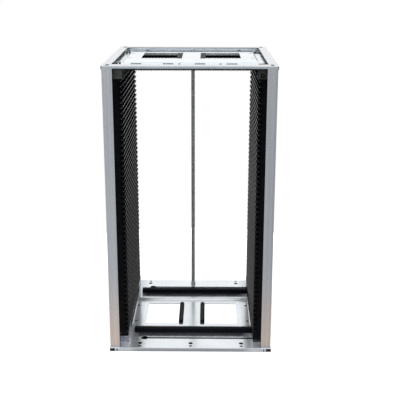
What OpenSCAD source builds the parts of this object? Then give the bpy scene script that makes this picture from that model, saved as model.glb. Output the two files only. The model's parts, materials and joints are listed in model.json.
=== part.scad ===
// Board magazine: a rack of two pressed plates on four posts, with a fixed and a sliding comb wall.
// Millimetres. X is the width, Y runs from the loading side to the rear, Z is up.
// The origin is at the middle of the footprint, on the surface that the rack stands on.

/* [Overall] */
// Width over the plate rims
rack_w = 320; // [300:1:350]
// Depth over the plate rims
rack_d = 355; // [325:1:390]
// Height over both plates
rack_h = 563; // [300:1:620]

/* [Pressed plates] */
// Sheet thickness
sheet = 1.2; // [0.8:0.1:1.5]
// Height of the folded rim, which is also the depth of the pressing
rim_h = 7.5; // [7.3:0.1:9]
// Radius of the plate's upright corners
corner_r = 3; // [2.5:0.5:6]
// Width of the return flange at the loading side and the rear
end_flange = 24; // [22:0.5:25]
// Width of the return flange at the left and right sides
side_flange = 17; // [12:0.5:17]
// Gap left at each corner between two return flanges
flange_seam = 1.2; // [0.6:0.1:2]
// Distance from the rim to the pressed central panel at the left and right sides
panel_side = 29; // [27:0.5:33]
// Distance from the rim to the pressed central panel at the loading side and the rear
panel_end = 105.5; // [100:0.5:112]
// How far the central panel stays inside the outer plane of the rim
panel_lip = 0.8; // [0.4:0.1:1]
// How far the sloping edge of the central panel runs inward
panel_run = 5.5; // [3:0.5:7]
// Length of a window across the rack
window_w = 70; // [50:1:76]
// Length of a window from front to rear
window_d = 101; // [80:1:110]
// Distance from the middle of the rack to the inner edge of a window
window_inset = 27; // [24:0.5:32]
// Corner radius of the windows
window_r = 3; // [1:0.5:4]
// Diameter of the mounting holes in the central panel
mount_hole_d = 6; // [4:0.1:7]
// Distance of the mounting holes from the panel's left and right edges
mount_hole_side = 11.5; // [8:0.5:14]
// Distance of the mounting holes from the panel's front and rear edges
mount_hole_end = 32; // [20:0.5:40]

/* [Posts and feet] */
// Width of a post across the rack
post_w = 19; // [18:0.5:20]
// Depth of a post from front to rear
post_d = 20; // [19:0.5:21]
// Set-back of a post from the rim
post_inset = 1.4; // [1:0.1:2]
// Wall of the extruded post
post_wall = 1.8; // [1.4:0.1:2.2]
// Distance between the two screw ports in a post
port_pitch = 9.6; // [9:0.1:10]
// Bore of a screw port
port_d = 3.6; // [3.2:0.1:3.8]
// Length of a foot along the rim
foot_reach = 10; // [8:0.5:12]

/* [Gear racks] */
// Gap between the pressed panel and a gear rack
track_gap = 24.75; // [18:0.25:27]
// Distance from the left rim to the end of a gear rack
track_left = 43.5; // [41:0.5:60]
// Distance from the right rim to the end of a gear rack
track_right = 8; // [4:0.5:12]
// Width of a gear rack
track_w = 12.5; // [11:0.1:13]
// Height of a gear rack with its teeth
track_h = 10; // [9:0.1:10.2]
// Tooth module
tooth_module = 1; // [0.95:0.01:1.02]
// Height of a rack tooth above the pitch line
rack_addendum = 0.5; // [0.4:0.05:0.6]
// Depth of a rack tooth below the pitch line
rack_dedendum = 1.05; // [0.95:0.05:1.2]
// Play between the flanks of meshing teeth
backlash = 0.24; // [0.15:0.01:0.4]
// Distance of the outer screws from the ends of a gear rack
track_screw_end = 18.75; // [12:0.25:26]
// Distance of the outer locating tabs' middles from the ends of a gear rack
track_tab_end = 14; // [12:0.5:20]
// Length of a locating tab
track_tab_l = 20; // [12:0.5:22]

/* [Comb walls] */
// Distance from the left rim to the fixed wall
fixed_side = 20; // [20:0.5:22]
// Distance from the right rim to the sliding wall at its widest setting
sliding_side = 19.5; // [19:0.5:22]
// Gap between the ends of a comb wall and the posts, seen from the side
wall_gap = 6.1; // [6:0.1:10]
// Thickness of a comb wall over its ribs
wall_t = 15.5; // [15:0.1:17]
// Distance from slot to slot
slot_pitch = 10; // [9:0.1:12]
// Least height of comb beyond the lowest and the highest rib
comb_end = 3.5; // [3:0.1:6]
// Depth of a slot
slot_depth = 4; // [3:0.1:5]
// Thickness of a rib at its root
rib_root = 5; // [4:0.1:5.4]
// Thickness of a rib at its tip
rib_tip = 3.2; // [2:0.1:3.8]
// Thickness of the comb wall's skin
skin_t = 2.6; // [2:0.1:3]
// Length of the flared lead-in at both ends of a slot
lead_in = 10; // [6:0.5:14]
// Depth of the flare into the wall
flare = 4.5; // [2:0.1:5]
// Width of the solid border round a comb wall's outer side
border = 12; // [10:0.5:16]
// Thickness of the stiffening ribs on the outer side
stiffener_t = 2.4; // [1.6:0.1:3]

/* [Carriers] */
// Height of a carrier between plate and comb
carrier_h = 20; // [19.8:0.1:24]
// Sheet thickness of a carrier
carrier_t = 1.5; // [1.2:0.1:1.6]
// Running gap between a sliding carrier and the plate
running_gap = 0.3; // [0.2:0.05:0.4]
// Length of the folded lip at each end of a carrier
carrier_lip = 39.5; // [30:0.5:39.5]
// Distance from the ends of a carrier to its guide pins
guide_end = 16.5; // [14:0.5:20]
// Width of a guide slot
guide_slot_w = 6; // [5.6:0.1:6.4]
// Diameter of the round entry at the end of a guide slot
guide_entry_d = 14; // [12:0.5:16]
// Distance from the left rim to that round entry
guide_entry_side = 66; // [62:0.5:70]
// Diameter of a guide pin's head
guide_head_d = 11; // [10:0.1:11.5]
// Thickness of the end covers on the lower carriers
cover_t = 1.2; // [1:0.1:1.5]
// Height of the end covers at the fixed wall
fixed_cover_h = 7.5; // [5:0.5:14]
// Height of the end covers at the sliding wall, which hide the bushes
sliding_cover_h = 14; // [12:0.5:14]

/* [Pinion shafts] */
// Height of a pinion tooth above the pitch circle
pinion_addendum = 0.75; // [0.6:0.05:0.8]
// Depth of a pinion tooth below the pitch circle
pinion_dedendum = 1.05; // [0.9:0.05:1.2]
// Face width of a pinion
pinion_w = 10; // [8:0.5:11]
// Diameter of a pinion shaft
shaft_d = 4.5; // [4:0.1:4.6]
// Radial clearance of a shaft in its bushes
shaft_clearance = 0.05; // [0.02:0.01:0.1]

/* [Stop rod] */
// Diameter of the stop rod
rod_d = 8; // [7:0.1:8]
// Diameter of the holes that take the rod
rod_hole_d = 8.6; // [8.4:0.1:9]
// Distance from the rim to the row of rod holes
rod_row_end = 21; // [19.5:0.1:21]
// Distance from the rim to the row of pin holes beside it
pin_row_end = 9; // [7:0.1:11]
// Diameter of the pin holes
pin_hole_d = 6; // [4:0.1:6.4]
// Spacing of the hole pairs across the rack
rod_pitch = 101.5; // [95:0.5:105]
// Diameter of the rod's collar
collar_d = 11; // [10.5:0.1:11]
// Height of the rod's collar
collar_h = 4.5; // [3:0.1:6]

/* [Hidden] */
$fn = 48;
eps = 1;
fit = 0.2;

// Plates
half_w = rack_w / 2;
half_d = rack_d / 2;
strip_under = rim_h - sheet;
panel_w = rack_w - 2 * panel_side;
panel_d = rack_d - 2 * panel_end;
panel_slope = panel_run / (rim_h - panel_lip);
panel_step = sheet * (sqrt(1 + panel_slope * panel_slope) - panel_slope);
window_x = window_inset + window_w / 2;
mount_hole_x = panel_w - 2 * mount_hole_side;
mount_hole_y = panel_d - 2 * mount_hole_end;
rod_row_y = half_d - rod_row_end;
pin_row_y = half_d - pin_row_end;

// Posts
post_x = half_w - post_inset - post_w / 2;
post_y = half_d - post_inset - post_d / 2;
post_h = rack_h - 2 * rim_h;
post_groove_w = 1.2;
post_groove_t = 0.5;
post_screw_d = port_d - 0.1;
post_screw_l = 18;
screw_head_h = 2.4;
screw_head_d = 7;
foot_pocket_d = screw_head_d + 1;
foot_pocket_h = screw_head_h + 0.4;
foot_inner_x = half_w - side_flange + fit;
foot_inner_y = half_d - end_flange + fit;
relief_w = 2;
relief_x = half_w - foot_reach - 4.5;

// Gear racks
track_y = panel_d / 2 + track_gap + track_w / 2;
track_l = rack_w - track_left - track_right;
track_x = (track_left - track_right) / 2;
track_screw_pitch = (track_l - 2 * track_screw_end) / 3;
track_tab_pitch = (track_l - 2 * track_tab_end) / 4;
tooth_pitch = PI * tooth_module;
pressure_angle = 20;
track_pitch_z = rim_h + track_h - rack_addendum;
track_screw_y = track_y + track_w / 5;
track_tab_y = track_y - track_w / 3.4;
track_tab_w = 2.4;
track_tab_proud = 1.4;
track_screw_d = 3;
track_head_d = 5.6;
track_head_h = 2;
track_screw_xs = [for (k = [-1.5:1:1.5]) track_x + k * track_screw_pitch];
track_tab_xs = [for (k = [-2:1:2]) track_x + k * track_tab_pitch];

// Comb walls
comb_h = rack_h - 2 * (rim_h + carrier_h);
comb_z = rim_h + carrier_h;
slot_count = floor((comb_h - 2 * comb_end) / slot_pitch);
slots_h = slot_count * slot_pitch;
first_rib_z = comb_z + (comb_h - slots_h) / 2;
wall_half = half_d - post_inset - post_d - wall_gap;
wall_d = 2 * wall_half;
fixed_tip_x = half_w - fixed_side - wall_t;
sliding_tip_x = half_w - sliding_side - wall_t;
rib_nose = 1.4;
wall_mid = wall_t / 2;
stiffener_bays_y = 5;
stiffener_bays_z = 5;

// Carriers
carrier_gap_h = carrier_h - running_gap;
guide_y = wall_half - guide_end;
guide_entry_x = guide_entry_side - half_w;
comb_screw_ys = [for (k = [-1.5:1:1.5]) k * guide_y / 1.5];
comb_screw_u = slot_depth + (wall_t - slot_depth) / 2;
comb_screw_d = 3.5;
comb_screw_l = 9;
fixing_u = wall_mid;
fixing_d = 4;
fixing_l = carrier_t + sheet + 2.6;
lug_y = track_y - track_w / 4;
lug_edge = 1.5;
lug_gap = 5.5;
lug_us = [wall_t - lug_edge - lug_gap, wall_t - lug_edge];
lug_w = 3;
lug_l = 10;
fixing_y = (lug_y + lug_l / 2 + wall_half) / 2;
lug_drop = sheet + 4.4;
pin_shoulder_d = guide_slot_w - 0.4;
pin_stem_d = 4;
pin_head_h = 1.6;
nut_af = 7;
nut_h = 3.2;
track_notch_w = track_w + 2;
cover_chamfer = 1.5;

// Pinions
pinion_teeth = 8;
pitch_r = tooth_module * pinion_teeth / 2;
shaft_z = track_pitch_z + pitch_r;
pinion_x = sliding_tip_x + wall_mid;
base_r = pitch_r * cos(pressure_angle);
tip_r = pitch_r + pinion_addendum;
root_r = pitch_r - pinion_dedendum;
flank_steps = 5;
shaft_half = wall_half - 0.5;
bush_d = shaft_d + 3;
bush_flange_d = shaft_d + 4.4;
bush_flange_t = 1;
bush_l = 5;
clip_d = shaft_d + 4;
clip_t = 1;
clip_groove = 0.5;
clip_y = wall_half - bush_l - clip_t - 0.4;

// Stop rod
rod_tip_z = strip_under - 2.6;
rod_top_z = rack_h - strip_under + 0.5;
grip_h = 6;
grip_w = 9;
grip_lap = 0.8;
grip_l = window_d - 2 * window_r - 1;

// Placing helpers

// The upper half of the rack is the lower half turned over.
module on_top() {
    translate([0, 0, rack_h]) mirror([0, 0, 1]) children();
}

// Copies at the loading side and at the rear
module front_and_rear(y) {
    for (side = [-1, 1]) translate([0, side * y, 0]) children();
}

// Wall coordinates: u runs outward from the rib tips.
module on_fixed_wall() {
    translate([-fixed_tip_x, 0, 0]) mirror([1, 0, 0]) children();
}

module on_sliding_wall() {
    translate([sliding_tip_x, 0, 0]) children();
}

// A slab that is centred in X and Y, with true round corners
module round_slab(w, d, r, h) {
    linear_extrude(h) union() {
        square([w - 2 * r, d], center = true);
        square([w, d - 2 * r], center = true);
        for (x = [-1, 1], y = [-1, 1]) translate([x * (w / 2 - r), y * (d / 2 - r)]) circle(r);
    }
}

module slab(w, d, h) {
    translate([-w / 2, -d / 2, 0]) cube([w, d, h]);
}

// A centred block whose four sides slope inward towards its lower face
module sloped_block(w, d, run, z0, z1) {
    intersection() {
        along_y(d) polygon([[run - w / 2, z0], [w / 2 - run, z0], [w / 2, z1], [-w / 2, z1]]);
        rotate([0, 0, 90]) along_y(w) polygon([[run - d / 2, z0], [d / 2 - run, z0], [d / 2, z1], [-d / 2, z1]]);
    }
}

// Extrudes a profile drawn in X and Z along Y, centred
module along_y(l) {
    translate([0, l / 2, 0]) rotate([90, 0, 0]) linear_extrude(l) children();
}

// Pressed plates

// Everything that pierces both plates, drawn for the lower one
module plate_cuts() {
    for (x = [-1, 1]) translate([x * window_x, 0, -eps]) round_slab(window_w, window_d, window_r, rim_h);
    for (x = [-1, 1], y = [-1, 1]) translate([x * mount_hole_x / 2, y * mount_hole_y / 2, -eps])
        cylinder(d = mount_hole_d, h = rim_h);
    for (x = [-1:1], y = [-1, 1]) {
        translate([x * rod_pitch, y * rod_row_y, strip_under - eps]) cylinder(d = rod_hole_d, h = sheet + 2 * eps);
        translate([x * rod_pitch, y * pin_row_y, strip_under - eps]) cylinder(d = pin_hole_d, h = sheet + 2 * eps);
    }
    front_and_rear(guide_y) guide_slot();
    for (y = [-1, 1]) {
        for (x = track_screw_xs) translate([x, y * track_screw_y, strip_under - eps])
            cylinder(d = track_screw_d + 2 * fit, h = sheet + 2 * eps);
        for (x = track_tab_xs) translate([x, y * track_tab_y, strip_under - eps])
            slab(track_tab_l + 2 * fit, track_tab_w + 2 * fit, sheet + 2 * eps);
        for (u = lug_us) translate([-fixed_tip_x - u, y * lug_y, strip_under - eps])
            slab(lug_w + 2 * fit, lug_l + 2 * fit, sheet + 2 * eps);
        translate([-fixed_tip_x - fixing_u, y * fixing_y, strip_under - eps])
            cylinder(d = fixing_d + 2 * fit, h = sheet + 2 * eps);
    }
    post_screw_places() translate([0, 0, strip_under - eps]) cylinder(d = port_d + 3 * fit, h = sheet + 2 * eps);
}

// Keyhole slot that takes the headed guide pins of the sliding wall
module guide_slot() {
    slot_end = pinion_x + pin_shoulder_d;
    translate([guide_entry_x, 0, strip_under - eps]) cylinder(d = guide_entry_d, h = sheet + 2 * eps);
    translate([guide_entry_x, -guide_slot_w / 2, strip_under - eps])
        cube([slot_end - guide_entry_x, guide_slot_w, sheet + 2 * eps]);
    translate([slot_end, 0, strip_under - eps]) cylinder(d = guide_slot_w, h = sheet + 2 * eps);
}

// One sheet with a folded rim, return flanges and a sunk central panel
module pressed_plate() {
    difference() {
        union() {
            difference() {
                round_slab(rack_w, rack_d, corner_r, rim_h);
                translate([0, 0, sheet])
                    round_slab(rack_w - 2 * sheet, rack_d - 2 * sheet, corner_r - sheet, strip_under - sheet);
                translate([0, 0, -eps]) slab(rack_w - 2 * side_flange, rack_d - 2 * end_flange, strip_under + eps);
            }
            sloped_block(panel_w, panel_d, panel_run, panel_lip, rim_h);
        }
        sloped_block(panel_w - 2 * panel_step, panel_d - 2 * panel_step, panel_run, panel_lip + sheet, rim_h + sheet);
        plate_cuts();
        for (x = [-1, 1], y = [-1, 1]) {
            translate([x * (half_w - side_flange / 2 - corner_r / 2), y * (half_d - end_flange), -eps])
                slab(side_flange - corner_r + eps, flange_seam, sheet + 2 * eps);
        }
    }
}

// The lower plate is cut away at its corners for the feet.
module bottom_plate() {
    color("gainsboro") difference() {
        pressed_plate();
        for (x = [-1, 1], y = [-1, 1]) scale_sides(x, y) {
            translate([half_w - foot_reach, half_d - foot_reach, -eps]) cube([half_w, half_d, strip_under + eps]);
            translate([half_w - side_flange - eps, half_d - end_flange - eps, -eps])
                cube([side_flange - sheet + eps, end_flange - sheet + eps, strip_under + eps]);
            translate([relief_x - relief_w / 2, half_d - sheet - eps, -eps]) cube([relief_w, half_d, strip_under]);
        }
    }
}

// The upper plate has driver holes in its flanges, over the post screws.
module top_plate() {
    color("gainsboro") on_top() difference() {
        pressed_plate();
        post_screw_places() translate([0, 0, -eps]) cylinder(d = screw_head_d + 2 * fit, h = sheet + 2 * eps);
    }
}

// Turns a corner drawn at the right rear into any of the four corners
module scale_sides(x, y) {
    mirror([x < 0 ? 1 : 0, 0, 0]) mirror([0, y < 0 ? 1 : 0, 0]) children();
}

// Posts and feet

// Extrusion with two screw ports on a web
module post_section() {
    inner_w = post_w - 2 * post_wall;
    inner_d = post_d - 2 * post_wall;
    difference() {
        union() {
            difference() {
                square([post_w, post_d], center = true);
                square([inner_w, inner_d], center = true);
            }
            square([post_wall, inner_d + post_wall], center = true);
            for (y = [-1, 1]) translate([0, y * port_pitch / 2]) circle(d = port_d + 2 * post_wall);
        }
        for (y = [-1, 1]) translate([0, y * port_pitch / 2]) circle(d = port_d);
        for (x = [-1, 1], y = [-1, 1]) {
            translate([x * post_w / 3, y * post_d / 2]) square([post_groove_w, 2 * post_groove_t], center = true);
            translate([x * post_w / 2, y * post_d / 3]) square([2 * post_groove_t, post_groove_w], center = true);
        }
    }
}

module post(x, y) {
    color("lightgray") translate([x * post_x, y * post_y, rim_h]) linear_extrude(post_h) post_section();
}

module post_screw_places() {
    for (x = [-1, 1], y = [-1, 1], port = [-1, 1])
        translate([x * post_x, y * post_y + port * port_pitch / 2, 0]) children();
}

// Corner foot that fills the cut corner of the lower plate
module foot(x, y) {
    color("dimgray") scale_sides(x, y) difference() {
        intersection() {
            union() {
                translate([half_w - foot_reach + fit, half_d - foot_reach + fit, 0])
                    cube([foot_reach - fit, foot_reach - fit, strip_under]);
                translate([foot_inner_x, foot_inner_y, 0])
                    cube([half_w - sheet - fit - foot_inner_x, half_d - sheet - fit - foot_inner_y, strip_under]);
            }
            round_slab(rack_w, rack_d, corner_r, rim_h);
        }
        for (port = [-1, 1]) translate([post_x, post_y + port * port_pitch / 2, -eps]) {
            cylinder(d = port_d + 3 * fit, h = rim_h + eps);
            cylinder(d = foot_pocket_d, h = foot_pocket_h + eps);
        }
    }
}

module pan_screw(head_d, head_h, stem_d, stem_l) {
    translate([0, 0, -head_h]) cylinder(d = head_d, h = head_h);
    cylinder(d = stem_d, h = stem_l);
}

// Below, the heads sit in the feet; above, they sit on the strip of the plate.
module post_screws_bottom() {
    color("silver") post_screw_places() translate([0, 0, foot_pocket_h])
        pan_screw(screw_head_d, screw_head_h, post_screw_d, post_screw_l);
}

module post_screws_top() {
    color("silver") on_top() post_screw_places() translate([0, 0, strip_under])
        pan_screw(screw_head_d, screw_head_h, post_screw_d, post_screw_l - strip_under + foot_pocket_h);
}

// Gear racks

// A straight-flanked tooth row, with a gap between teeth where the pinion stands at rest
module rack_profile() {
    x0 = track_x - track_l / 2;
    x1 = track_x + track_l / 2;
    half = tooth_pitch / 4 - backlash / 4;
    tip = half - rack_addendum * tan(pressure_angle);
    root = half + rack_dedendum * tan(pressure_angle);
    first = ceil((x0 - pinion_x + root) / tooth_pitch - 0.5);
    last = floor((x1 - pinion_x - root) / tooth_pitch - 0.5);
    root_z = track_pitch_z - rack_dedendum;
    tip_z = track_pitch_z + rack_addendum;
    teeth = [for (k = [first:last]) let (x = pinion_x + (k + 0.5) * tooth_pitch)
        each [[x - root, root_z], [x - tip, tip_z], [x + tip, tip_z], [x + root, root_z]]];
    polygon(concat([[x1, root_z], [x1, rim_h], [x0, rim_h], [x0, root_z]], teeth));
}

// Toothed track with locating tabs that pass through the plate
module gear_rack(side) {
    color("black") difference() {
        union() {
            translate([0, side * track_y, 0]) along_y(track_w) rack_profile();
            for (x = track_tab_xs) translate([x, side * track_tab_y, strip_under - track_tab_proud])
                slab(track_tab_l, track_tab_w, sheet + track_tab_proud + eps);
        }
        for (x = track_screw_xs) translate([x, side * track_screw_y, rim_h - eps])
            cylinder(d = track_screw_d + fit / 2, h = track_h / 2 + eps);
    }
}

module rack_screw_set() {
    for (x = track_screw_xs, y = [-1, 1]) translate([x, y * track_screw_y, strip_under])
        pan_screw(track_head_d, track_head_h, track_screw_d, sheet + track_h / 2 - fit);
}

module gear_rack_screws() {
    color("darkslategray") {
        rack_screw_set();
        on_top() rack_screw_set();
    }
}

// Soft edge trims on the carrying bridge between the windows

module grip_trim(side) {
    round_r = grip_w / 2 + grip_lap / 2;
    middle = window_inset - grip_w / 2 + grip_lap / 2;
    crest_z = panel_lip + sheet + grip_h;
    color("black") scale_sides(side, 1) along_y(grip_l) difference() {
        union() {
            translate([middle - round_r, fit]) square([2 * round_r, crest_z - round_r - fit]);
            intersection() {
                translate([middle, crest_z - round_r]) circle(round_r);
                translate([middle - round_r, fit]) square([2 * round_r, crest_z]);
            }
        }
        translate([middle - round_r - eps, panel_lip - fit / 4])
            square([window_inset - middle + round_r + eps + fit / 4, sheet + fit / 2]);
    }
}

// Comb walls, drawn with the rib tips at u = 0 and the wall on the positive side

// Skin with a solid border, flared slot mouths and a grid of stiffeners on its outer side
module comb_panel() {
    skin_u = slot_depth + skin_t;
    bay_y = (wall_d - 2 * border - (stiffener_bays_y - 1) * stiffener_t) / stiffener_bays_y;
    bay_z = (comb_h - 2 * border - (stiffener_bays_z - 1) * stiffener_t) / stiffener_bays_z;
    color([0.09, 0.09, 0.1]) difference() {
        translate([slot_depth, -wall_half, comb_z]) cube([wall_t - slot_depth, wall_d, comb_h]);
        for (i = [0:stiffener_bays_y - 1], j = [0:stiffener_bays_z - 1])
            translate([skin_u, -wall_half + border + i * (bay_y + stiffener_t),
                    comb_z + border + j * (bay_z + stiffener_t)])
                cube([wall_t, bay_y, bay_z]);
        for (y = [-1, 1], k = [0:slot_count - 1]) slot_mouth(y, first_rib_z + k * slot_pitch);
        for (y = comb_screw_ys, z = [comb_z - eps, comb_z + comb_h - comb_screw_l + eps])
            translate([comb_screw_u, y, z]) cylinder(d = comb_screw_d + fit / 2, h = comb_screw_l);
    }
}

// Wedge that widens one slot towards the end of the wall
module slot_mouth(end, z) {
    translate([0, 0, z + rib_root / 2]) scale_sides(1, end) linear_extrude(slot_pitch - rib_root)
        polygon([[slot_depth - eps, wall_half + eps], [slot_depth + flare, wall_half + eps],
            [slot_depth + flare, wall_half], [slot_depth, wall_half - lead_in], [slot_depth - eps, wall_half - lead_in]]);
}

// One rib: a tapered bar whose ends run out to a nose
module comb_rib() {
    intersection() {
        along_y(wall_d) polygon([[slot_depth, -rib_root / 2], [0, -rib_tip / 2], [0, rib_tip / 2], [slot_depth, rib_root / 2]]);
        rotate([90, 0, 90]) linear_extrude(slot_depth)
            polygon([[-wall_half, -rib_nose / 2], [lead_in - wall_half, -rib_root / 2], [wall_half - lead_in, -rib_root / 2],
                [wall_half, -rib_nose / 2], [wall_half, rib_nose / 2], [wall_half - lead_in, rib_root / 2],
                [lead_in - wall_half, rib_root / 2], [-wall_half, rib_nose / 2]]);
    }
}

module comb_ribs() {
    color([0.09, 0.09, 0.1]) for (k = [0:slot_count]) translate([0, 0, first_rib_z + k * slot_pitch]) comb_rib();
}

// Carriers: folded channels between a plate and a comb wall, open towards the boards

module carrier_channel(z0) {
    difference() {
        translate([0, -wall_half, z0]) cube([wall_t, wall_d, comb_z - z0]);
        translate([-eps, -wall_half + carrier_t, z0 + carrier_t])
            cube([wall_t - carrier_t + eps, wall_d - 2 * carrier_t, comb_z - z0 - 2 * carrier_t]);
        for (y = comb_screw_ys) translate([comb_screw_u, y, comb_z - carrier_t - eps])
            cylinder(d = comb_screw_d + 2 * fit, h = carrier_t + 2 * eps);
    }
    for (y = [-1, 1]) translate([0, y * (wall_half - carrier_lip / 2) - carrier_lip / 2, z0])
        cube([carrier_t, carrier_lip, comb_z - z0]);
}

// The fixed carrier stands on the plate, with lugs through it.
module fixed_carrier() {
    color("darkkhaki") on_fixed_wall() difference() {
        union() {
            carrier_channel(rim_h);
            for (u = lug_us, y = [-1, 1]) translate([u, y * lug_y, rim_h - lug_drop])
                slab(lug_w, lug_l, lug_drop + eps);
        }
        front_and_rear(fixing_y) translate([fixing_u, 0, rim_h - eps])
            cylinder(d = fixing_d + fit / 2, h = carrier_t + 2 * eps);
    }
}

// The sliding carrier is cut out over the gear racks and drilled for bushes and guide pins.
module sliding_carrier() {
    z0 = rim_h + running_gap;
    color("darkkhaki") on_sliding_wall() difference() {
        carrier_channel(z0);
        front_and_rear(track_y) translate([-eps, -track_notch_w / 2, z0 - eps])
            cube([wall_t + 2 * eps, track_notch_w, comb_z - carrier_t - z0 + eps]);
        front_and_rear(guide_y) translate([wall_mid, 0, z0 - eps]) cylinder(d = pin_stem_d + fit, h = carrier_t + 2 * eps);
        translate([wall_mid, -wall_half - eps, shaft_z]) rotate([-90, 0, 0])
            cylinder(d = bush_d + fit / 2, h = wall_d + 2 * eps);
    }
}

// Black covers on the end faces of a lower carrier, just below the comb
module end_covers(h) {
    color([0.09, 0.09, 0.1]) for (end = [-1, 1]) translate([0, end * (wall_half + cover_t / 2), 0]) along_y(cover_t)
        polygon([[0, comb_z], [0, comb_z - h + cover_chamfer], [cover_chamfer, comb_z - h],
            [wall_t - cover_chamfer, comb_z - h], [wall_t, comb_z - h + cover_chamfer], [wall_t, comb_z]]);
}

module fixed_carrier_screw_set() {
    on_fixed_wall() front_and_rear(fixing_y) translate([fixing_u, 0, strip_under])
        pan_screw(screw_head_d, screw_head_h, fixing_d, fixing_l);
}

module fixed_carrier_screws() {
    color("silver") {
        fixed_carrier_screw_set();
        on_top() fixed_carrier_screw_set();
    }
}

// Screws that hold a comb wall on its carriers
module comb_screw_set() {
    for (y = comb_screw_ys) translate([comb_screw_u, y, comb_z - carrier_t])
        pan_screw(screw_head_d, screw_head_h, comb_screw_d, comb_screw_l - fit);
}

module both_ends() {
    children();
    on_top() children();
}

module guide_pins() {
    z0 = rim_h + running_gap;
    on_sliding_wall() front_and_rear(guide_y) translate([wall_mid, 0, 0]) {
        translate([0, 0, strip_under - running_gap - pin_head_h]) cylinder(d = guide_head_d, h = pin_head_h);
        translate([0, 0, strip_under - running_gap]) cylinder(d = pin_shoulder_d, h = z0 - strip_under + running_gap);
        translate([0, 0, z0]) cylinder(d = pin_stem_d, h = carrier_t + nut_h + 0.6);
    }
}

module guide_nut_set() {
    on_sliding_wall() front_and_rear(guide_y) translate([wall_mid, 0, rim_h + running_gap + carrier_t]) difference() {
        cylinder(d = nut_af / cos(30), h = nut_h, $fn = 6);
        translate([0, 0, -eps]) cylinder(d = pin_stem_d + fit / 2, h = nut_h + 2 * eps);
    }
}

// Pinion shafts

// Flanged bush in each end wall of a sliding carrier
module shaft_bushes() {
    color("black") for (end = [-1, 1]) scale_sides(1, end)
        translate([pinion_x, wall_half, shaft_z]) rotate([90, 0, 0]) difference() {
            union() {
                cylinder(d = bush_d, h = bush_l);
                translate([0, 0, carrier_t]) cylinder(d = bush_flange_d, h = bush_flange_t);
            }
            translate([0, 0, -eps]) cylinder(d = shaft_d + 2 * shaft_clearance, h = bush_l + 2 * eps);
        }
}

module pinion_shaft() {
    color("silver") translate([pinion_x, shaft_half, shaft_z]) rotate([90, 0, 0]) difference() {
        cylinder(d = shaft_d, h = 2 * shaft_half);
        for (end = [-1, 1]) translate([0, 0, shaft_half + end * clip_y - clip_t / 2]) difference() {
            cylinder(d = shaft_d + eps, h = clip_t);
            translate([0, 0, -eps]) cylinder(d = shaft_d - 2 * clip_groove, h = clip_t + 2 * eps);
        }
    }
}

// Half the angle of a tooth at radius r on an involute flank
function involute(r) = let (a = acos(min(1, base_r / r))) tan(a) * 180 / PI - a;
function half_tooth(r) = 90 / pinion_teeth - backlash / 4 / pitch_r * 180 / PI + involute(pitch_r) - involute(r);
function flank_r(i) = base_r + (tip_r - base_r) * i / flank_steps;
function polar(r, a) = [r * cos(a), r * sin(a)];

// Tooth outline with one tooth pointing at the rack
module pinion_outline() {
    polygon([for (tooth = [0:pinion_teeth - 1]) let (middle = tooth * 360 / pinion_teeth - 90) each concat(
        [polar(root_r, middle - half_tooth(base_r))],
        [for (i = [0:flank_steps]) polar(flank_r(i), middle - half_tooth(flank_r(i)))],
        [for (i = [flank_steps:-1:0]) polar(flank_r(i), middle + half_tooth(flank_r(i)))],
        [polar(root_r, middle + half_tooth(base_r))])]);
}

module pinion(side) {
    color("black") translate([pinion_x, side * track_y, shaft_z]) difference() {
        along_y(pinion_w) pinion_outline();
        along_y(pinion_w + 2 * eps) circle(d = shaft_d + fit / 5);
    }
}

// Retaining rings that keep a shaft between its bushes
module shaft_clips() {
    color("gray") for (end = [-1, 1]) translate([pinion_x, end * clip_y, shaft_z]) along_y(clip_t - fit / 2)
        difference() {
            circle(d = clip_d);
            circle(d = shaft_d - 2 * clip_groove + fit / 2);
        }
}

// Stop rod at the rear

module stop_rod() {
    color("gray") translate([0, rod_row_y, rod_tip_z]) cylinder(d = rod_d, h = rod_top_z - rod_tip_z);
}

module stop_rod_collar() {
    color("dimgray") translate([0, rod_row_y, rim_h]) difference() {
        cylinder(d = collar_d, h = collar_h);
        translate([0, 0, -eps]) cylinder(d = rod_d + fit / 5, h = collar_h + 2 * eps);
    }
}

bottom_plate();
top_plate();
post(-1, -1);  // post_front_left
post(1, -1);  // post_front_right
post(-1, 1);  // post_rear_left
post(1, 1);  // post_rear_right
foot(-1, -1);  // foot_front_left
foot(1, -1);  // foot_front_right
foot(-1, 1);  // foot_rear_left
foot(1, 1);  // foot_rear_right
post_screws_bottom();
post_screws_top();
gear_rack(-1);  // gear_rack_bottom_front
gear_rack(1);  // gear_rack_bottom_rear
on_top() gear_rack(-1);  // gear_rack_top_front
on_top() gear_rack(1);  // gear_rack_top_rear
gear_rack_screws();
grip_trim(-1);  // grip_trim_bottom_left
grip_trim(1);  // grip_trim_bottom_right
on_top() grip_trim(-1);  // grip_trim_top_left
on_top() grip_trim(1);  // grip_trim_top_right
on_fixed_wall() comb_panel();  // fixed_comb_panel
on_fixed_wall() comb_ribs();  // fixed_comb_ribs
fixed_carrier();  // fixed_carrier_bottom
on_top() fixed_carrier();  // fixed_carrier_top
fixed_carrier_screws();
color("silver") both_ends() on_fixed_wall() comb_screw_set();  // fixed_comb_screws
on_fixed_wall() end_covers(fixed_cover_h);  // fixed_end_covers
on_sliding_wall() comb_panel();  // sliding_comb_panel
on_sliding_wall() comb_ribs();  // sliding_comb_ribs
sliding_carrier();  // sliding_carrier_bottom
on_top() sliding_carrier();  // sliding_carrier_top
color("silver") both_ends() on_sliding_wall() comb_screw_set();  // sliding_comb_screws
on_sliding_wall() end_covers(sliding_cover_h);  // sliding_end_covers
color("silver") guide_pins();  // guide_pins_bottom
color("silver") on_top() guide_pins();  // guide_pins_top
color("silver") both_ends() guide_nut_set();  // guide_pin_nuts
shaft_bushes();  // shaft_bushes_bottom
on_top() shaft_bushes();  // shaft_bushes_top
pinion_shaft();  // pinion_shaft_bottom
pinion(-1);  // pinion_bottom_front
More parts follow.
